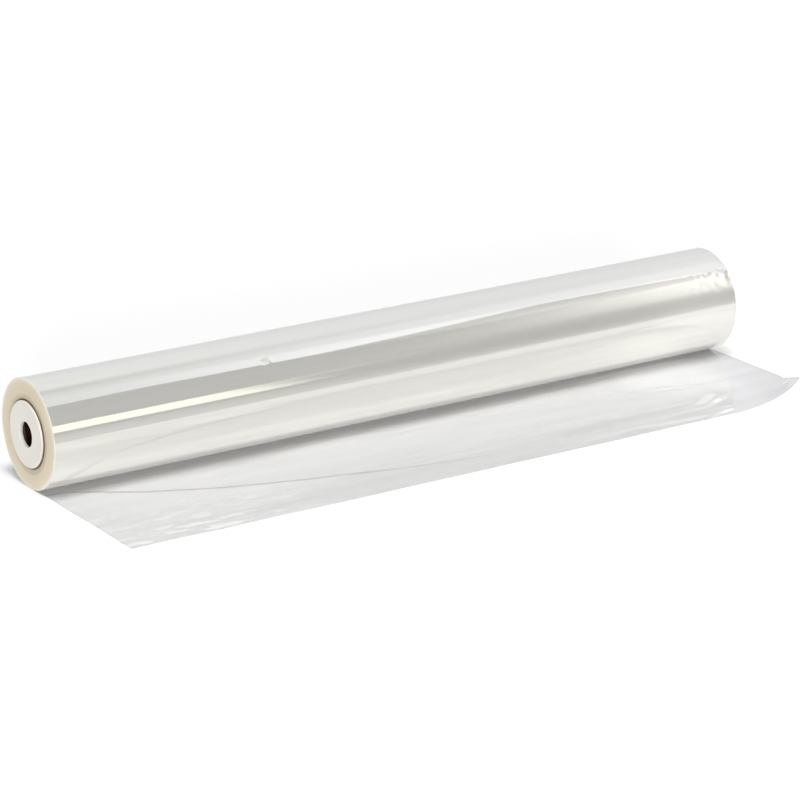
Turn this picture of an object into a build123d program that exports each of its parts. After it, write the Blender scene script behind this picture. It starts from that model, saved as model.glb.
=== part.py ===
from build123d import *
import os
from math import cos, hypot, radians, sin, sqrt, tan

# Roll of clear film on a cardboard core, with a plastic plug pushed into each end. Millimetres.
# The roll lies along X with its middle at x = 0, and rests on a small flat spot at z = 0.
# The loose end of the film leaves the roll at the bottom and lies on the floor towards -Y.
# Its right front corner is lifted off the floor in a piece of a cone.

# Film: the web's width, the roll's outside diameter, and the flat spot that the roll rests on
film_width = 500.0
roll_diameter = 67.2
flat_spot_width = 7.0

# Groups of turns that wander a little sideways, so that both ends of the roll are gently stepped
turn_groups = 12
turn_wander = 0.3
wander_step_deg = 137.5

# Loose end, drawn thicker than the real film
tail_length = 123.0
tail_thickness = 0.4

# Lifted corner: where the bend starts on both edges, and the cone that it bends into
lift_on_side = 40.2
lift_on_front = 68.8
lift_cone_deg = 37.5
lift_turn_deg = 68.6

# Cardboard core
core_bore = 38.0
core_wall = 2.0
core_proud = 0.5
winding_clearance = 0.1

# End plugs: a flange seated on the core's end, and a sleeve with crush ribs inside the core
flange_inset = 0.8
flange_thickness = 1.0
flange_chamfer = 0.35
spindle_bore = 15.6
spindle_chamfer = 0.3
web_thickness = 2.0
sleeve_length = 7.0
sleeve_wall = 1.5
sleeve_clearance = 0.35
sleeve_chamfer = 0.6
rib_count = 6
rib_width = 1.2
rib_clearance = 0.1

# Sizes that follow
core_radius = core_bore / 2 + core_wall
core_length = film_width + 2 * core_proud
winding_bore_radius = core_radius + winding_clearance
roll_radius = roll_diameter / 2
winding_depth = roll_radius - winding_bore_radius
axis_height = sqrt(roll_radius**2 - (flat_spot_width / 2) ** 2)
sleeve_radius = core_bore / 2 - sleeve_clearance
flange_radius = core_radius - flange_inset
roll_axis = Pos(0, 0, axis_height)


def wound_turns():
    """The wound film as one ring, its section stepped at both ends, cut flat where it rests."""
    group_depth = winding_depth / turn_groups
    left_end = []
    right_end = []
    for group in range(turn_groups):
        inner = winding_bore_radius + group * group_depth
        from_outside = turn_groups - 1 - group
        shift = turn_wander * sin(radians(wander_step_deg * from_outside))
        for radius in (inner, inner + group_depth):
            left_end.append((shift - film_width / 2, radius))
            right_end.append((shift + film_width / 2, radius))
    section = make_face(Polyline(*left_end, *reversed(right_end), close=True))
    ring = roll_axis * revolve(section, axis=Axis.X)
    return split(ring, bisect_by=Plane.XY, keep=Keep.TOP)


def lift_points():
    """The two ends of the bend line: on the right edge of the loose end, and on its cut edge."""
    on_side = Vector(film_width / 2, lift_on_side - tail_length, 0)
    on_front = Vector(film_width / 2 - lift_on_front, -tail_length, 0)
    return on_side, on_front


def flat_tail():
    """The part of the loose end that lies on the floor, as far as the bend line."""
    on_side, on_front = lift_points()
    outline = Polyline(
        (-film_width / 2, 0),
        (-film_width / 2, -tail_length),
        (on_front.X, on_front.Y),
        (on_side.X, on_side.Y),
        (film_width / 2, 0),
        close=True,
    )
    return extrude(make_face(outline), amount=tail_thickness, dir=(0, 0, 1))


def lifted_corner():
    """The corner beyond the bend line, turned about the axis of a cone that the floor touches."""
    on_side, on_front = lift_points()
    along_bend = (on_front - on_side).normalized()
    up = Vector(0, 0, 1)
    cone_angle = radians(lift_cone_deg)
    cone_axis = Axis(on_side, along_bend * cos(cone_angle) + up * sin(cone_angle))
    strip_length = hypot(lift_on_side, lift_on_front) + lift_on_side
    strip = Polyline(
        (0, 0),
        (strip_length, 0),
        (strip_length, tail_thickness),
        (tail_thickness / tan(cone_angle), tail_thickness),
        close=True,
    )
    bend_plane = Plane(origin=on_side, x_dir=along_bend, z_dir=along_bend.cross(up))
    cone = revolve(bend_plane * make_face(strip), axis=cone_axis, revolution_arc=lift_turn_deg)
    tip = on_side + along_bend.rotate(cone_axis, lift_turn_deg) * lift_on_side
    cut_edge = Vector(tip.X - on_front.X, tip.Y - on_front.Y, 0).normalized()
    cut_plane = Plane(origin=on_front, x_dir=cut_edge, z_dir=up.cross(cut_edge))
    return split(cone, bisect_by=cut_plane, keep=Keep.TOP)


def film():
    """The whole web in one solid: the wound turns, the loose end and its lifted corner."""
    return wound_turns() + flat_tail() + lifted_corner()


def core_tube():
    """The spiral-wound tube, a little longer than the film is wide."""
    tube = Cylinder(core_radius, core_length) - Cylinder(core_bore / 2, core_length)
    return roll_axis * Rot(0, 90, 0) * tube


def end_plug():
    """One plug about X, its flange's outer face at x = 0 and its sleeve towards +X."""
    spindle_radius = spindle_bore / 2
    sleeve_inside = sleeve_radius - sleeve_wall
    sleeve_end = flange_thickness + sleeve_length
    section = Polyline(
        (0, spindle_radius + spindle_chamfer),
        (0, flange_radius - flange_chamfer),
        (flange_chamfer, flange_radius),
        (flange_thickness, flange_radius),
        (flange_thickness, sleeve_radius),
        (sleeve_end - sleeve_chamfer, sleeve_radius),
        (sleeve_end, sleeve_radius - sleeve_chamfer),
        (sleeve_end, sleeve_inside),
        (web_thickness, sleeve_inside),
        (web_thickness, spindle_radius),
        (spindle_chamfer, spindle_radius),
        close=True,
    )
    plug = revolve(make_face(section), axis=Axis.X)
    rib_length = sleeve_length - sleeve_chamfer
    rib_top = core_bore / 2 - rib_clearance
    rib_foot = sleeve_radius - sleeve_wall / 2
    rib = Pos(flange_thickness + rib_length / 2, 0, (rib_top + rib_foot) / 2) * Box(
        rib_length, rib_width, rib_top - rib_foot)
    ribs = [Rot(360 / rib_count * turn, 0, 0) * rib for turn in range(rib_count)]
    return plug + ribs


def left_end_plug():
    """The plug in the left end, its flange seated on the core."""
    return roll_axis * Pos(-core_length / 2 - flange_thickness, 0, 0) * end_plug()


def right_end_plug():
    """The same plug turned round in the right end."""
    return roll_axis * Pos(core_length / 2 + flange_thickness, 0, 0) * Rot(0, 0, 180) * end_plug()


os.makedirs("parts", exist_ok=True)
for make in (film, core_tube, left_end_plug, right_end_plug):
    export_step(make(), f"parts/{make.__name__}.step")
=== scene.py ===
import math

import bpy
import numpy as np
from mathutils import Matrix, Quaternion, Vector, noise


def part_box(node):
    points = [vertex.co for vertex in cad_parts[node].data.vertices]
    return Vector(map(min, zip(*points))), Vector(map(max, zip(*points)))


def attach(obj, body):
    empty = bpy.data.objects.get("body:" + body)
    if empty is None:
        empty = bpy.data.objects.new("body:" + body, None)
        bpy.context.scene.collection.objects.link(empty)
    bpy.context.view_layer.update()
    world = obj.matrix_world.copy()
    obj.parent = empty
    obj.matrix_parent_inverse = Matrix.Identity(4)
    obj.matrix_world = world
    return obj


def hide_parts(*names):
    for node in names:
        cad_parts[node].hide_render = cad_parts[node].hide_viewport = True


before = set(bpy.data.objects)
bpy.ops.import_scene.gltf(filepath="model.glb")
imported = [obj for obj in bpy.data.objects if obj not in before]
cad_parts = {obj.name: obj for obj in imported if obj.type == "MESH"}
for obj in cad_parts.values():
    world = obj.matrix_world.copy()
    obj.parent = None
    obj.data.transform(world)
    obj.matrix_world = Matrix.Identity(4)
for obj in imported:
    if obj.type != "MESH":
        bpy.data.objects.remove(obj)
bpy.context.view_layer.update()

# Metres throughout, in the frame of the solids: the roll along X, its loose end towards -Y, +Z up.
# Angles around the roll start at +Y, so that 90 degrees is its top and 180 its front.

# Sizes read from the solids
film_low, film_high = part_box("film")
core_low, core_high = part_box("core_tube")
ROLL_RADIUS = film_high.y
AXIS_HEIGHT = (core_low.z + core_high.z) / 2
CORE_RADIUS = (core_high.z - core_low.z) / 2
TAIL_LENGTH = -film_low.y

# Sizes that the solids' boxes don't show
FILM_WIDTH = 0.5
HALF_WIDTH = FILM_WIDTH / 2
WINDING_CLEARANCE = 0.0001
CORE_BORE_RADIUS = 0.019
# How far out from the bore the core's painted shade reaches
BORE_SHADE_DEPTH = 0.0008
LIFT_ON_SIDE = 0.0402
LIFT_ON_FRONT = 0.0688
LIFT_CONE = math.radians(37.5)
LIFT_TURN = math.radians(68.6)

# Painted shade on the plugs' inside: dark at the first distance from the roll's middle, and gone at the
# second
PLUG_PAINTED_SHADE = (0.2488, 0.2496)

# Outside of the roll: its slack, crinkles near the far end, the flare of the far rim, and one small dent
SLACK_HEIGHT = 0.00007
CRINKLE_HEIGHT = 0.00012
CRINKLE_RISE = (0.205, 0.244)
CRINKLE_ANGLE = math.radians(138.0)
CRINKLE_SPREAD = 0.33
FLARE_HEIGHT = 0.0004
FLARE_START = 0.2468
FLARE_ANGLE = math.radians(128.0)
FLARE_SPREAD = 0.2
DENT_DEPTH = 0.00024
DENT_PLACE = -0.102
DENT_LENGTH = 0.003
DENT_ANGLE = math.radians(131.5)
DENT_SPREAD = 0.06

# Ends of the roll: how far the turns wander sideways, and how the outermost ones draw in
FINE_WANDER = 0.00012
BROAD_WANDER = 0.00022
RIM_WIDTH = 0.001
RIM_SET_BACK = 0.00025

# Fineness of the film meshes, with more steps at the dent and the far end
TURN_STEPS = 288
LENGTH_STEPS = 170
END_RINGS = 44
DENT_REACH = 0.007
DENT_STEPS = 27
FAR_END_START = 0.2105
FAR_END_GAP = 0.0003
FAR_END_STEPS = 36
TAIL_STEPS_X = 400
TAIL_STEPS_Y = 200

# Loose end: where it leaves the roll, how high it lies at the least, and where its ripples begin
TAIL_START = 0.0045
TAIL_CLEARANCE = 0.0002
RIPPLE_RISE = (0.006, 0.03)

# Ripples of the loose end: shift and frequencies of the noise, height, and more height where it is rumpled
RIPPLES = (
    (0.0, (9.0, 34.0, 1.0), 0.0006, 0.0),
    (3.0, (24.0, 150.0, 1.0), 0.00028, 0.0006),
    (7.0, (45.0, 260.0, 1.0), 0.00008, 0.0001),
)

# Folds of the loose end: where they run, as x and y, and where along x they fade
CREASE = ((-0.238, -0.231, -0.199, -0.157, -0.11, -0.049, 0.06),
          (-0.019, -0.024, -0.045, -0.064, -0.079, -0.094, -0.11))
CREASE_FADE = (0.03, -0.08)
RIDGE = ((-0.11, -0.076, -0.052, -0.012, 0.04, 0.099, 0.147, 0.193, 0.215),
         (-0.015, -0.022, -0.029, -0.0356, -0.0357, -0.0276, -0.0274, -0.02, -0.017))
RIDGE_LEFT_FADE = (-0.11, -0.05)
RIDGE_RIGHT_FADE = (0.215, 0.17)

# Puckers of the loose end near its lifted corner: place, turn, length, width and height
PUCKERS = (
    ((0.185, -0.0965), 24.0, 0.009, 0.0014, 0.0012),
    ((0.176, -0.1163), 12.0, 0.009, 0.0013, 0.0011),
    ((0.17, -0.061), -13.0, 0.026, 0.0015, 0.0008),
    ((0.158, -0.054), -13.0, 0.022, 0.0014, 0.0006),
    ((0.186, -0.084), 32.0, 0.017, 0.005, 0.0011),
)

# How much denser the loose end looks at its cut edges, how dark the painted shade is along its crease and
# far side, and how much clearer it looks in painted glints in rumpled patches
EDGE_DENSITY = 0.12
EDGE_WIDTH = 0.0008
CREASE_PAINTED_SHADE = 0.24
CREASE_WIDTH = 0.0018
FAR_SIDE_PAINTED_SHADE = 0.12
PAINTED_GLINT_CLEARNESS = 0.18

# Camera, fitted to the photograph
CAMERA_AZIMUTH_DEG = -33.34
CAMERA_ELEVATION_DEG = 18.38
CAMERA_ROLL_DEG = -0.1
CAMERA_DISTANCE = 2.061
CAMERA_TARGET = Vector((0.0092, 0.0, 0.0066))
CAMERA_LENS_MM = 148.3
CAMERA_SENSOR_MM = 36.0
CAMERA_REACH = 100.0

# Studio
WHITE = (1.0, 1.0, 1.0, 1.0)
FILL_LEVEL = 0.3
MIRRORED_ROOM = (0.79, 0.797, 0.835, 1.0)
FLOOR_SIZE = 12.0
FLOOR_WHITE_MIRRORED = 0.85
STUDIO_RADIUS = 3.0
STUDIO_AZIMUTHS = np.arange(-60.0, 135.5, 0.5)
STUDIO_ELEVATIONS = np.arange(-4.0, 72.5, 0.5)
SIDE_ROOM_LEVEL = 0.76
SIDE_LAMP_LEVEL = 1.8
STRIP_LEVEL = 1.28
STRIP_TINT = (1.0, 0.97, 0.78)
ACCENT_LAMP_RADIUS = 0.02

# Table as a mirror sees it: height, corners as x and y, and the brightness at each corner.
# First what lies past its edge and the table in front, then the table under the loose end and its far side.
EDGE_LEFT = (-0.7, -0.061)
EDGE_RIGHT = (2.9, -1.21)
TABLE_TINT = (1.0, 0.995, 0.975, 1.0)
TABLE_PANELS = (
    (0.001, ((-0.7, -2.9), (2.9, -2.9), EDGE_RIGHT, EDGE_LEFT), (0.42, 0.3, 0.3, 0.42)),
    (0.001, (EDGE_LEFT, EDGE_RIGHT, (2.9, -0.126), (-0.5, -0.126)), (0.84, 0.84, 0.84, 0.84)),
    (0.0001, ((-HALF_WIDTH, -0.122), (0.1, -0.122), (0.1, -0.02), (-HALF_WIDTH, -0.02)),
     (1.32, 1.32, 1.42, 1.42)),
    (0.0001, ((0.1, -0.122), (HALF_WIDTH, -0.122), (HALF_WIDTH, -0.02), (0.1, -0.02)),
     (1.32, 1.4, 1.6, 1.42)),
)


def direction(azimuth_deg, elevation_deg):
    """Unit vector out from the object. Azimuth 0 is -Y and 90 is +X."""
    azimuth = math.radians(azimuth_deg)
    elevation = math.radians(elevation_deg)
    across = math.cos(elevation)
    return Vector((math.sin(azimuth) * across, -math.cos(azimuth) * across, math.sin(elevation)))


def smooth_step(start, end, value):
    """Zero before the start and one past the end, which may lie to either side of it."""
    share = np.clip((value - start) / (end - start), 0.0, 1.0)
    return share * share * (3 - 2 * share)


def hump(value, middle, spread):
    """One in the middle, falling off smoothly to both sides."""
    return np.exp(-((value - middle) / spread) ** 2)


def soft_noise(points, scale):
    """Gradient noise at each point, with a frequency for each axis."""
    return np.array([noise.noise(Vector(p)) for p in np.asarray(points) * scale])


class Shader:
    """A material whose nodes are added and linked in short calls."""

    def __init__(self, name):
        self.material = bpy.data.materials.new(name)
        self.material.use_nodes = True
        self.tree = self.material.node_tree
        self.surface = self.tree.nodes["Principled BSDF"]

    def add(self, kind, **settings):
        """A new node with these settings."""
        node = self.tree.nodes.new(kind)
        for key, value in settings.items():
            setattr(node, key, value)
        return node

    def link(self, source, target):
        """Joins one node's output to another's input."""
        self.tree.links.new(source, target)

    def set(self, **values):
        """Even values of the surface, with each space in an input's name written as _."""
        for name, value in values.items():
            self.surface.inputs[name.replace("_", " ")].default_value = value

    def drive(self, name, source):
        """Links an output to the surface's input of this name."""
        self.link(source, self.surface.inputs[name])

    def math(self, operation, first, second=0.0):
        """A sum, product or other operation on numbers or outputs."""
        node = self.add("ShaderNodeMath", operation=operation)
        for socket, value in zip(node.inputs, (first, second)):
            if isinstance(value, (int, float)):
                socket.default_value = value
            else:
                self.link(value, socket)
        return node.outputs[0]

    def position(self):
        """Place on the object."""
        return self.add("ShaderNodeTexCoord").outputs["Object"]

    def noise(self, scale, detail=2.0, vector=None, stretch=(1, 1, 1)):
        """Noise of about 0 to 1 over the object, or over another vector."""
        mapping = self.add("ShaderNodeMapping")
        mapping.inputs["Scale"].default_value = stretch
        self.link(vector or self.position(), mapping.inputs["Vector"])
        node = self.add("ShaderNodeTexNoise")
        node.inputs["Scale"].default_value = scale
        node.inputs["Detail"].default_value = detail
        self.link(mapping.outputs[0], node.inputs["Vector"])
        return node.outputs["Fac"]

    def ramp(self, value, *stops):
        """Colours between stops, each a place and a colour."""
        node = self.add("ShaderNodeValToRGB")
        elements = node.color_ramp.elements
        while len(elements) < len(stops):
            elements.new(0.5)
        for element, (place, colour) in zip(elements, stops):
            element.position = place
            element.color = (*colour, 1.0)
        self.link(value, node.inputs["Fac"])
        return node.outputs["Color"]

    def range(self, value, low, high, from_low=0.0, from_high=1.0):
        """A value brought from one range to another, and kept within it."""
        node = self.add("ShaderNodeMapRange")
        for name, number in (("From Min", from_low), ("From Max", from_high),
                             ("To Min", low), ("To Max", high)):
            node.inputs[name].default_value = number
        self.link(value, node.inputs["Value"])
        return node.outputs["Result"]

    def bump(self, height, strength, distance):
        """Fine relief of the surface."""
        node = self.add("ShaderNodeBump")
        node.inputs["Strength"].default_value = strength
        node.inputs["Distance"].default_value = distance
        self.link(height, node.inputs["Height"])
        self.drive("Normal", node.outputs["Normal"])

    def axis_distance(self):
        """Distance from the roll's axis."""
        parts = self.add("ShaderNodeSeparateXYZ")
        self.link(self.position(), parts.inputs[0])
        up = self.math("SUBTRACT", parts.outputs["Z"], AXIS_HEIGHT)
        squares = self.math("ADD", self.math("POWER", parts.outputs["Y"], 2.0),
                            self.math("POWER", up, 2.0))
        return self.math("SQRT", squares)


def film_surface_material():
    """Outside of the wound film: clear layers that look silvery, with faint lengthwise streaks."""
    shader = Shader("wound_film")
    shader.set(Metallic=0.53, IOR=1.5)
    streaks = shader.noise(scale=1.0, detail=3.0, stretch=(3.0, 90.0, 90.0))
    tone = shader.ramp(streaks, (0.3, (0.745, 0.738, 0.7)), (0.7, (0.785, 0.777, 0.737)))
    shader.drive("Base Color", tone)
    shader.drive("Roughness", shader.range(streaks, low=0.03, high=0.07))
    fine = shader.noise(scale=1.0, detail=2.0, stretch=(8.0, 600.0, 600.0))
    shader.bump(fine, strength=0.12, distance=0.00005)
    return shader.material


def film_edge_material():
    """Cut ends of the turns: cream, in fine rings, with painted shade darkening them towards the core and a
    painted glow on the outermost turns at the rim.
    """
    shader = Shader("film_cut_ends")
    radius = shader.axis_distance()
    combined = shader.add("ShaderNodeCombineXYZ")
    shader.link(radius, combined.inputs["X"])
    rings = shader.noise(scale=900.0, detail=4.0, vector=combined.outputs[0])
    depth = shader.range(radius, low=0.0, high=1.0, from_low=CORE_RADIUS, from_high=ROLL_RADIUS)
    # Cream by distance from the axis: its dark inner stop is painted shade beside the plug, and its pale
    # outer stops are a painted glow on the rim.
    cream_with_painted_light = shader.ramp(depth, (0.0, (0.48, 0.415, 0.285)), (0.3, (0.67, 0.585, 0.425)),
                        (0.8, (0.72, 0.64, 0.47)), (0.94, (0.81, 0.765, 0.63)), (1.0, (0.85, 0.82, 0.72)))
    cloud = shader.noise(scale=28.0, detail=1.0)
    uneven = shader.math("MULTIPLY", shader.math("ADD", rings, cloud), 0.5)
    shade = shader.ramp(uneven, (0.35, (0.86, 0.86, 0.87)), (0.65, (1.0, 1.0, 1.0)))
    both = shader.add("ShaderNodeMix", data_type="RGBA", blend_type="MULTIPLY")
    both.inputs["Factor"].default_value = 1.0
    shader.link(cream_with_painted_light, both.inputs["A"])
    shader.link(shade, both.inputs["B"])
    shader.drive("Base Color", both.outputs["Result"])
    shader.set(Roughness=0.38)
    shader.bump(rings, strength=0.25, distance=0.0002)
    return shader.material


def film_tail_material():
    """One layer of clear film: see-through from above, a mirror at a low angle, dense where it is marked,
    with painted shade and painted glints among the marks.
    """
    shader = Shader("loose_film")
    shader.set(Base_Color=(0.52, 0.52, 0.525, 1.0), Metallic=0.7, Roughness=0.04, IOR=1.5)
    facing = shader.add("ShaderNodeLayerWeight")
    facing.inputs["Blend"].default_value = 0.5
    gloss = shader.math("MULTIPLY", facing.outputs["Facing"], 0.4)
    streaks = shader.noise(scale=1.0, detail=2.0, stretch=(9.0, 80.0, 1.0))
    haze = shader.range(streaks, low=0.26, high=0.34, from_low=0.25, from_high=0.75)
    marks_and_painted_light = shader.add("ShaderNodeAttribute", attribute_name="marks_and_painted_light").outputs["Fac"]
    density = shader.math("ADD", shader.math("ADD", gloss, haze), marks_and_painted_light)
    shader.drive("Alpha", density)
    fine = shader.noise(scale=1.0, detail=3.0, stretch=(60.0, 200.0, 200.0))
    shader.bump(fine, strength=0.35, distance=0.0002)
    return shader.material


def core_material():
    """Brown spiral-wound board, with painted shade darkening it to near black at the bore."""
    shader = Shader("core_board")
    fibres = shader.noise(scale=1.0, detail=5.0, stretch=(900.0, 300.0, 300.0))
    # Painted shade: the board darkens to near black towards the bore, where the hole lies in shade.
    bore_shade = shader.range(shader.axis_distance(), low=-0.7, high=0.0,
                         from_low=CORE_BORE_RADIUS, from_high=CORE_BORE_RADIUS + BORE_SHADE_DEPTH)
    shade = shader.math("ADD", fibres, bore_shade)
    tone = shader.ramp(shade, (0.0, (0.03, 0.012, 0.007)), (0.35, (0.12, 0.078, 0.05)),
                       (0.7, (0.2, 0.138, 0.096)))
    shader.drive("Base Color", tone)
    shader.set(Roughness=0.9, Specular_IOR_Level=0.1)
    shader.bump(fibres, strength=0.3, distance=0.0001)
    return shader.material


def plug_material():
    """White moulded plastic, a little warm, with a fine matte grain. Painted shade darkens its inside, deep
    in the core.
    """
    shader = Shader("white_plastic")
    cloud = shader.noise(scale=60.0, detail=3.0)
    place = shader.add("ShaderNodeSeparateXYZ")
    shader.link(shader.position(), place.inputs[0])
    from_middle = shader.math("ABSOLUTE", place.outputs["X"])
    # Painted shade: the plug turns dark brown where it reaches into the core.
    unshaded = shader.range(from_middle, low=0.2, high=1.0, from_low=PLUG_PAINTED_SHADE[0], from_high=PLUG_PAINTED_SHADE[1])
    tone = shader.ramp(shader.math("MULTIPLY", cloud, unshaded), (0.16, (0.13, 0.1, 0.085)),
                       (0.28, (0.71, 0.692, 0.636)), (0.7, (0.74, 0.722, 0.664)))
    shader.drive("Base Color", tone)
    shader.drive("Roughness", shader.range(cloud, low=0.36, high=0.46))
    grain = shader.noise(scale=2500.0, detail=2.0)
    shader.bump(grain, strength=0.08, distance=0.00005)
    return shader.material


def mesh_object(name, vertices, faces, materials, face_material=None, sharp_deg=None):
    """A smooth-shaded mesh in the scene. Edges over sharp_deg stay sharp."""
    mesh = bpy.data.meshes.new(name)
    mesh.from_pydata([tuple(v) for v in vertices], [], faces)
    for mat in materials:
        mesh.materials.append(mat)
    if face_material is not None:
        mesh.polygons.foreach_set("material_index", face_material)
    mesh.polygons.foreach_set("use_smooth", [True] * len(mesh.polygons))
    if sharp_deg is not None:
        mesh.set_sharp_from_angle(angle=math.radians(sharp_deg))
    mesh.update()
    obj = bpy.data.objects.new(name, mesh)
    bpy.context.scene.collection.objects.link(obj)
    return obj


def grid_faces(rows, columns, rows_first=False):
    """Quads between the points of a grid. Going to the next row first turns them over."""
    first, second = (columns, 1) if rows_first else (1, columns)
    corners = [row * columns + column for row in range(rows - 1) for column in range(columns - 1)]
    return [(c, c + first, c + first + second, c + second) for c in corners]


def roll_noise(x, angle, along, around):
    """Noise on the outside of the roll, with its frequencies along and around it."""
    return soft_noise(np.stack([x, np.cos(angle), np.sin(angle)], axis=1), (along, around, around))


def surface_swell(x, angle):
    """How far the outside of the roll stands in or out: slack, far-end crinkles and one small dent."""
    slack = SLACK_HEIGHT * roll_noise(x, angle, 6.0, 1.3)
    facing_up = hump(angle, CRINKLE_ANGLE, CRINKLE_SPREAD)
    crinkles = CRINKLE_HEIGHT * smooth_step(*CRINKLE_RISE, x) * (0.08 + facing_up)
    crinkles = crinkles * roll_noise(x, angle, 260.0, 8.0)
    flare = FLARE_HEIGHT * smooth_step(FLARE_START, HALF_WIDTH, x) * hump(angle, FLARE_ANGLE, FLARE_SPREAD)
    at_dent = hump(x, DENT_PLACE, DENT_LENGTH) * hump(angle, DENT_ANGLE, DENT_SPREAD)
    crumple = soft_noise(np.stack([x, angle, np.zeros_like(x)], axis=1), (520.0, 17.0, 1.0))
    crumpled = np.cos(1.6 * (x - DENT_PLACE) / DENT_LENGTH + 0.5) + 1.6 * crumple
    return slack + crinkles + flare - DENT_DEPTH * at_dent * crumpled


def end_wander(radius, side):
    """Sideways wander of the turns at an end face. Another side gives another wander."""
    fine = np.array([noise.noise(Vector((r * 1500.0, side, 0.0))) for r in radius])
    broad = np.array([noise.noise(Vector((r * 420.0, side, 7.0))) for r in radius])
    return FINE_WANDER * fine + BROAD_WANDER * broad


def rim_set_back(radius):
    """The outermost turns draw in a little at their edges, so the rim is rounded."""
    return RIM_SET_BACK * smooth_step(ROLL_RADIUS - RIM_WIDTH, ROLL_RADIUS, radius) ** 2


def roll_profile():
    """Section of the wound film as x and radius: up the left end, along the outside, down the right end."""
    radii = np.linspace(CORE_RADIUS + WINDING_CLEARANCE, ROLL_RADIUS, END_RINGS)
    left = np.stack([-HALF_WIDTH + end_wander(radii, 0.0) + rim_set_back(radii), radii], axis=1)
    right = np.stack([HALF_WIDTH + end_wander(radii, 3.0) - rim_set_back(radii), radii], axis=1)[::-1]
    even = np.linspace(left[-1, 0], right[0, 0], LENGTH_STEPS + 1)[1:-1]
    at_dent = DENT_PLACE + np.linspace(-DENT_REACH, DENT_REACH, DENT_STEPS)
    at_far_end = np.linspace(FAR_END_START, right[0, 0] - FAR_END_GAP, FAR_END_STEPS)
    stations = np.unique(np.concatenate([even, at_dent, at_far_end]).round(5))
    outside = np.stack([stations, np.full(len(stations), ROLL_RADIUS)], axis=1)
    return np.concatenate([left, outside, right])


def film_turns():
    """The wound roll as one closed ring: outside, both stepped ends and the bore on the core."""
    profile = roll_profile()
    rings = len(profile)
    x = np.repeat(profile[:, 0], TURN_STEPS)
    radius = np.repeat(profile[:, 1], TURN_STEPS)
    angle = np.tile(np.arange(TURN_STEPS) * 2 * math.pi / TURN_STEPS, rings)
    on_outside = np.isclose(radius, ROLL_RADIUS, rtol=0.0, atol=1e-7)
    radius[on_outside] += surface_swell(x[on_outside], angle[on_outside])
    y = radius * np.cos(angle)
    z = np.maximum(AXIS_HEIGHT + radius * np.sin(angle), 0.0)
    faces = []
    face_material = []
    for ring in range(rings):
        following = (ring + 1) % rings
        is_end = ring < END_RINGS - 1 or ring >= rings - END_RINGS
        for step in range(TURN_STEPS):
            ahead = (step + 1) % TURN_STEPS
            faces.append((ring * TURN_STEPS + step, ring * TURN_STEPS + ahead,
                          following * TURN_STEPS + ahead, following * TURN_STEPS + step))
            face_material.append(1 if is_end else 0)
    return mesh_object("film_turns", np.stack([x, y, z], axis=1), faces,
                       [film_surface_material(), film_edge_material()], face_material, sharp_deg=50)


def fold(y, line, height, back, front):
    """A sharp-crested fold along a line: gently up from the front, then down behind it."""
    behind = y - line
    return height * np.where(behind > 0, np.clip(1 - behind / back, 0.0, 1.0), np.exp(behind / front))


def pucker(x, y, place, turn_deg, length, width, height):
    """A short ridge at a place, turned from the X axis."""
    turn = math.radians(turn_deg)
    along = (x - place[0]) * math.cos(turn) + (y - place[1]) * math.sin(turn)
    across = (y - place[1]) * math.cos(turn) - (x - place[0]) * math.sin(turn)
    return height * np.exp(-(along / length) ** 2 - (across / width) ** 2)


def front_left(x, y):
    """One at the left end of the cut edge, where the film is most rumpled."""
    return smooth_step(-0.07, -0.19, x) * smooth_step(0.055, 0.09, -y)


def ripple_height(x, y):
    """Height of the loose end over the floor: low ripples, two long folds and a few puckers."""
    spots = np.stack([x, y, np.zeros_like(x)], axis=1)
    rumpled = front_left(x, y)
    ripples = sum((height + more * rumpled) * (0.5 + 0.5 * soft_noise(spots + shift, scale))
                  for shift, scale, height, more in RIPPLES)
    crease = fold(y, np.interp(x, *CREASE), height=0.0004, back=0.0026, front=0.03)
    crease = crease * smooth_step(*CREASE_FADE, x)
    ridge = fold(y, np.interp(x, *RIDGE), height=0.0009, back=0.018, front=0.03)
    ridge = ridge * smooth_step(*RIDGE_LEFT_FADE, x) * smooth_step(*RIDGE_RIGHT_FADE, x)
    puckers = sum(pucker(x, y, *shape) for shape in PUCKERS)
    return TAIL_CLEARANCE + smooth_step(*RIPPLE_RISE, -y) * ripples + crease + ridge + puckers


def film_marks(x, y):
    """Where the loose end looks denser, at cut edges, with painted shade along the crease and on the far
    side, and clearer, in painted glints in rumpled patches.
    """
    inset = np.minimum(np.minimum(x + HALF_WIDTH, HALF_WIDTH - x), y + TAIL_LENGTH)
    edge = EDGE_DENSITY * np.exp(-inset / EDGE_WIDTH)
    # Painted shade: a dark line along the crease, where the fold mirrors shade.
    crease = CREASE_PAINTED_SHADE * hump(y, np.interp(x, *CREASE), CREASE_WIDTH) * smooth_step(*CREASE_FADE, x)
    spots = np.stack([x + 0.4, y, np.zeros_like(x)], axis=1)
    speckle = soft_noise(spots, (50.0, 190.0, 1.0)) + 0.5 * soft_noise(spots, (130.0, 420.0, 1.0))
    near_cut = 0.5 + 0.5 * smooth_step(0.095, 0.108, -y) * smooth_step(-0.13, -0.18, x)
    # Painted glints: clearer patches show the white floor where the rumpled film mirrors a highlight.
    painted_glints = smooth_step(0.22, 0.3, speckle) * front_left(x, y) * near_cut
    # Painted shade: the far side of the loose end is darker.
    painted_far_side_shade = FAR_SIDE_PAINTED_SHADE * smooth_step(0.2, 0.235, x)
    return edge + crease + painted_far_side_shade - PAINTED_GLINT_CLEARNESS * painted_glints


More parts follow.
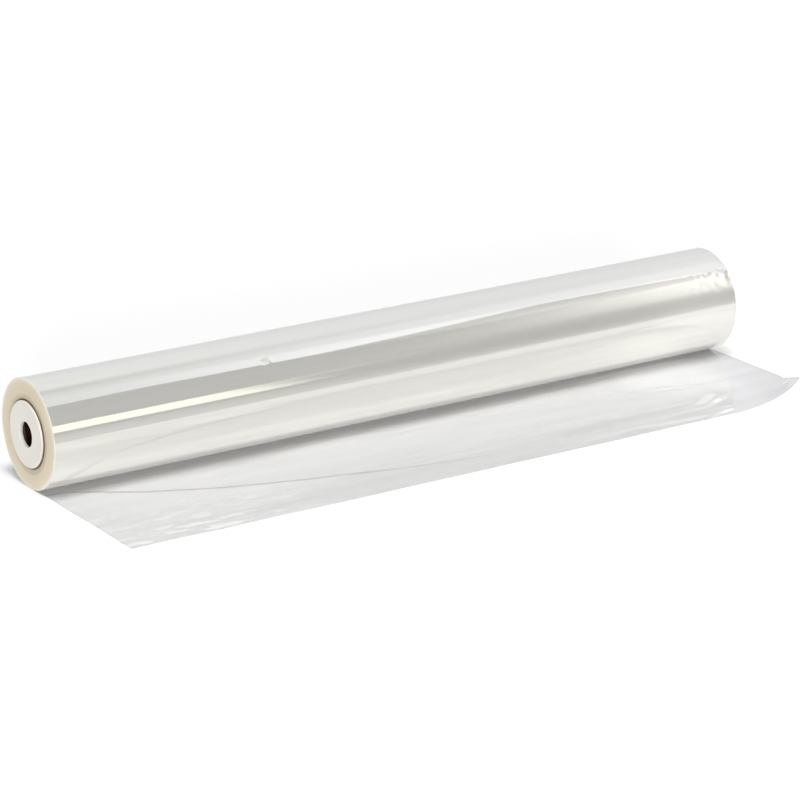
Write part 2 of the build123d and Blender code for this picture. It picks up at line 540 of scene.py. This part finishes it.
def lift_corner(points):
    """Bends the right front corner of the flat sheet up round a cone that touches the floor."""
    on_side = Vector((HALF_WIDTH, LIFT_ON_SIDE - TAIL_LENGTH, 0.0))
    on_front = Vector((HALF_WIDTH - LIFT_ON_FRONT, -TAIL_LENGTH, 0.0))
    along = (on_front - on_side).normalized()
    cone_axis = along * math.cos(LIFT_CONE) + Vector((0, 0, math.sin(LIFT_CONE)))
    tip = on_side + Quaternion(cone_axis, LIFT_TURN) @ along * LIFT_ON_SIDE
    cut = Vector((tip.x - on_front.x, tip.y - on_front.y, 0.0)).normalized()
    cut_normal = Vector((-cut.y, cut.x, 0.0))
    corner_angle = math.atan2(LIFT_ON_FRONT, LIFT_ON_SIDE)
    lifted = []
    for point in points:
        flat = Vector((point[0], point[1], 0.0)) - on_side
        beyond = math.atan2(along.x * flat.y - along.y * flat.x, along.dot(flat))
        if flat.length < 1e-9 or not 0 < beyond < math.pi / 2 + corner_angle:
            lifted.append(point)
            continue
        turn = Quaternion(cone_axis, LIFT_TURN * beyond / corner_angle)
        ruling = turn @ along
        edge_flat = LIFT_ON_SIDE / math.cos(corner_angle - beyond)
        edge_lifted = (on_front - on_side).dot(cut_normal) / ruling.dot(cut_normal)
        reach = flat.length * edge_lifted / edge_flat
        normal = turn @ Vector((0, 0, 1))
        place = on_side + ruling * reach + normal * point[2]
        lifted.append(tuple(place))
    return np.array(lifted)


def film_tail():
    """The loose end: one thin sheet from under the roll to its cut edge."""
    across = np.linspace(-HALF_WIDTH, HALF_WIDTH, TAIL_STEPS_X + 1)
    along = np.linspace(-TAIL_START, -TAIL_LENGTH, TAIL_STEPS_Y + 1)
    x = np.tile(across, len(along))
    y = np.repeat(along, len(across))
    points = lift_corner(np.stack([x, y, ripple_height(x, y)], axis=1))
    faces = grid_faces(len(along), len(across), rows_first=True)
    sheet = mesh_object("film_tail", points, faces, [film_tail_material()])
    # The marks carry painted shade and painted glints as well as the denser cut edges.
    marks_and_painted_light = sheet.data.attributes.new("marks_and_painted_light", "FLOAT", "POINT")
    marks_and_painted_light.data.foreach_set("value", film_marks(x, y))
    sheet.visible_shadow = False
    return sheet


def dress_solids():
    """Materials for the pieces that keep their solids' shape."""
    board = core_material()
    plastic = plug_material()
    for node, mat in (("core_tube", board), ("left_end_plug", plastic), ("right_end_plug", plastic)):
        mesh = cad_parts[node].data
        mesh.materials.clear()
        mesh.materials.append(mat)


def either(tree, first, second):
    """The larger of two outputs."""
    node = tree.nodes.new("ShaderNodeMath")
    node.operation = "MAXIMUM"
    tree.links.new(first, node.inputs[0])
    tree.links.new(second, node.inputs[1])
    return node.outputs[0]


def mix_shaders(tree, share, first, second):
    """The first shader, and the second one by a share."""
    mix = tree.nodes.new("ShaderNodeMixShader")
    tree.links.new(share, mix.inputs["Fac"])
    tree.links.new(first, mix.inputs[1])
    tree.links.new(second, mix.inputs[2])
    return mix.outputs[0]


def make_world():
    """White to look at, pale and cool as a reflection, and an even fill on surfaces."""
    world = bpy.data.worlds.new("studio")
    world.use_nodes = True
    tree = world.node_tree
    levels = []
    for colour, strength in ((WHITE, FILL_LEVEL), (MIRRORED_ROOM, 1.0), (WHITE, 1.0)):
        background = tree.nodes.new("ShaderNodeBackground")
        background.inputs["Color"].default_value = colour
        background.inputs["Strength"].default_value = strength
        levels.append(background.outputs[0])
    fill, mirrored, white = levels
    path = tree.nodes.new("ShaderNodeLightPath")
    seen = either(tree, path.outputs["Is Camera Ray"], path.outputs["Is Transmission Ray"])
    lit = mix_shaders(tree, path.outputs["Is Glossy Ray"], fill, mirrored)
    tree.links.new(mix_shaders(tree, seen, lit, white), tree.nodes["World Output"].inputs["Surface"])
    bpy.context.scene.world = world


def make_floor():
    """Plain white floor that keeps the object's soft shadow, and looks paler in mirrors."""
    half = FLOOR_SIZE / 2
    shader = Shader("floor_white")
    shader.set(Base_Color=(0.99, 0.99, 0.99, 1.0), Roughness=0.9)
    glow = shader.add("ShaderNodeEmission")
    path = shader.add("ShaderNodeLightPath")
    share = shader.math("MULTIPLY", path.outputs["Is Glossy Ray"], FLOOR_WHITE_MIRRORED)
    surface = mix_shaders(shader.tree, share, shader.surface.outputs[0], glow.outputs[0])
    shader.link(surface, shader.tree.nodes["Material Output"].inputs["Surface"])
    corners = [(-half, -half, 0), (half, -half, 0), (half, half, 0), (-half, half, 0)]
    floor = mesh_object("floor", corners, [(0, 1, 2, 3)], [shader.material])


# The studio that the film mirrors, feature by feature. Its edges are azimuths and elevations in degrees.

def studio_wall(azimuth, elevation):
    """Brightness of the wall behind the camera: dark, with a thin lit rail, and a softbox on the right."""
    low_left = smooth_step(32.0, 26.0, azimuth) * smooth_step(10.0, 5.0, elevation)
    dark = 0.01 + 0.17 * smooth_step(12.0, 0.0, elevation) + 0.12 * low_left
    box_edge = 46.3 + 0.034 * np.maximum(elevation - 27.0, 0.0) ** 2
    box_rise = 1 / (1 + np.exp((box_edge - azimuth) / 3.1))
    softbox = 1.5 * box_rise * smooth_step(15.0, 30.0, elevation) * smooth_step(46.5, 43.5, elevation)
    beside_box = np.clip(0.33 + 0.067 * (51.0 - elevation), 0.3, 0.75)
    beside_box = beside_box * smooth_step(48.0, 60.0, azimuth) * smooth_step(42.0, 46.0, elevation)
    rail = 0.25 * smooth_step(38.0, 31.0, azimuth) * hump(elevation, 22.4, 1.1)
    return np.maximum(dark + softbox + rail, beside_box)


def studio_ceiling(azimuth, elevation):
    """Brightness of the ceiling, dimmer on the far right, with a lit beam along its edge."""
    along_beam = elevation - 0.4 * (np.minimum(azimuth, 66.0) - 60.0)
    beam = np.clip(1.12 - 0.039 * (along_beam - 51.7), 0.55, 1.15)
    ceiling = np.clip(0.95 - 0.025 * (elevation - 50.0), 0.45, 0.86)
    ceiling = ceiling - 0.18 * smooth_step(98.0, 112.0, azimuth)
    beam_end = 78.0 + 1.1 * np.maximum(elevation - 59.0, 0.0)
    return ceiling + (beam - ceiling) * smooth_step(beam_end + 0.8, beam_end - 0.8, azimuth)


def above_wall(azimuth, elevation):
    """One where the ceiling shows, which comes lower past the end of its beam."""
    beam_edge = np.interp(azimuth, (42.0, 50.0, 53.0, 60.0, 69.0, 78.0),
                          (59.0, 58.5, 53.0, 53.0, 53.8, 53.9))
    past_beam = smooth_step(-0.5, 0.7, azimuth - 72.2 - 0.74 * (elevation - 47.4))
    past_beam = past_beam * smooth_step(20.0, 30.0, elevation)
    return np.maximum(smooth_step(-0.3, 0.5, elevation - beam_edge), past_beam)


def open_sides(azimuth, elevation):
    """One where the studio opens to the pale room: at both ends of the wall, and low on the right."""
    ends = np.maximum(smooth_step(-40.0, -60.0, azimuth), smooth_step(118.0, 135.0, azimuth))
    low_right = smooth_step(66.0, 82.0, azimuth) * smooth_step(49.0, 46.0, elevation)
    return np.maximum(ends, low_right)


def side_lamp(azimuth, elevation):
    """One at the small lamp in the pale room on the right."""
    top = 47.0 - 0.37 * np.maximum(azimuth - 103.0, 0.0)
    across = smooth_step(90.0, 93.0, azimuth) * smooth_step(119.0, 116.0, azimuth)
    return across * smooth_step(29.0, 32.0, elevation) * smooth_step(0.0, -1.5, elevation - top)


def strip_light(azimuth, elevation):
    """One at the strip light low in front."""
    upright = smooth_step(10.8, 12.6, elevation) * smooth_step(24.6, 23.2, elevation)
    return smooth_step(30.5, 27.0, azimuth) * upright


def studio_colour(azimuth, elevation):
    """Colour of the studio in each direction. The strip light is warm, and the ceiling a little cool."""
    above = above_wall(azimuth, elevation)
    wall = studio_wall(azimuth, elevation)
    level = wall + (studio_ceiling(azimuth, elevation) - wall) * above
    to_room = open_sides(azimuth, elevation)
    level = level + (SIDE_ROOM_LEVEL - level) * to_room
    level = level + SIDE_LAMP_LEVEL * side_lamp(azimuth, elevation)
    strip = STRIP_LEVEL * strip_light(azimuth, elevation) * (1 - to_room)
    warm = 0.05 - 0.15 * above
    tint = np.stack([np.ones_like(warm), 1 - 0.2 * warm, 1 - warm], axis=1)
    colour = level[:, None] * tint + np.outer(strip, STRIP_TINT)
    return np.concatenate([colour, np.ones((len(level), 1))], axis=1)


def make_studio_front():
    """What the film mirrors: the studio behind the camera, the table's end, and the table under it."""
    points = [tuple(direction(azimuth, elevation) * STUDIO_RADIUS)
              for elevation in STUDIO_ELEVATIONS for azimuth in STUDIO_AZIMUTHS]
    faces = grid_faces(len(STUDIO_ELEVATIONS), len(STUDIO_AZIMUTHS))
    colours = [studio_colour(np.tile(STUDIO_AZIMUTHS, len(STUDIO_ELEVATIONS)),
                             np.repeat(STUDIO_ELEVATIONS, len(STUDIO_AZIMUTHS)))]
    for height, corners, tones in TABLE_PANELS:
        faces.append(tuple(range(len(points), len(points) + len(corners))))
        points += [(*corner, height) for corner in corners]
        colours.append(np.outer(tones, TABLE_TINT))
    shader = Shader("studio_front")
    light = shader.add("ShaderNodeAttribute", attribute_name="light")
    glow = shader.add("ShaderNodeEmission")
    shader.link(light.outputs["Color"], glow.inputs["Color"])
    shader.link(glow.outputs[0], shader.tree.nodes["Material Output"].inputs["Surface"])
    wall = mesh_object("studio_front", points, faces, [shader.material])
    values = wall.data.attributes.new("light", "FLOAT_COLOR", "POINT")
    values.data.foreach_set("color", np.concatenate(colours).ravel())
    for kind in ("camera", "diffuse", "transmission", "shadow"):
        setattr(wall, f"visible_{kind}", False)


def add_light(light, back):
    """Puts a light in the scene, shining against a direction and not seen in mirrors."""
    lamp = bpy.data.objects.new(light.name, light)
    lamp.rotation_euler = (-back).to_track_quat("-Z", "Y").to_euler()
    lamp.visible_glossy = False
    bpy.context.scene.collection.objects.link(lamp)
    return lamp


def soft_light(name, azimuth_deg, elevation_deg, spread_deg, level):
    """A broad soft light. Its level is how bright it makes a white surface that faces it."""
    light = bpy.data.lights.new(name, "SUN")
    light.angle = math.radians(spread_deg)
    light.energy = level * math.pi
    add_light(light, direction(azimuth_deg, elevation_deg))


def accent_light(name, target, azimuth_deg, elevation_deg, distance, reach, level):
    """A soft-edged spot on one place. Its level is how bright it makes a white surface there."""
    light = bpy.data.lights.new(name, "SPOT")
    light.energy = level * (2 * math.pi * distance) ** 2
    light.spot_size = 2 * math.atan(reach / distance)
    light.spot_blend = 1.0
    light.shadow_soft_size = ACCENT_LAMP_RADIUS
    back = direction(azimuth_deg, elevation_deg)
    add_light(light, back).location = Vector(target) + back * distance


def make_lights():
    """Two broad lights, and an accent on the far end of the loose film."""
    soft_light("front", azimuth_deg=-27.0, elevation_deg=8.0, spread_deg=14.0, level=0.56)
    soft_light("top", azimuth_deg=-20.0, elevation_deg=74.0, spread_deg=28.0, level=0.72)
    accent_light("right_accent", target=(0.2, -0.03, 0.0), azimuth_deg=40.0, elevation_deg=38.0,
                 distance=1.2, reach=0.055, level=0.34)


def make_camera():
    """The photograph's camera."""
    camera = bpy.data.cameras.new("camera")
    camera.lens = CAMERA_LENS_MM
    camera.sensor_width = CAMERA_SENSOR_MM
    camera.clip_end = CAMERA_REACH
    obj = bpy.data.objects.new("camera", camera)
    back = direction(CAMERA_AZIMUTH_DEG, CAMERA_ELEVATION_DEG)
    obj.location = CAMERA_TARGET + back * CAMERA_DISTANCE
    turn = (-back).to_track_quat("-Z", "Y") @ Quaternion((0, 0, 1), math.radians(CAMERA_ROLL_DEG))
    obj.rotation_euler = turn.to_euler()
    bpy.context.scene.collection.objects.link(obj)
    bpy.context.scene.camera = obj


turns = film_turns()
tail = film_tail()
for piece in (turns, tail):
    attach(piece, "root")
    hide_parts("film")
dress_solids()
make_world()
make_floor()
make_studio_front()
make_lights()
make_camera()
bpy.context.scene.view_settings.view_transform = "Standard"
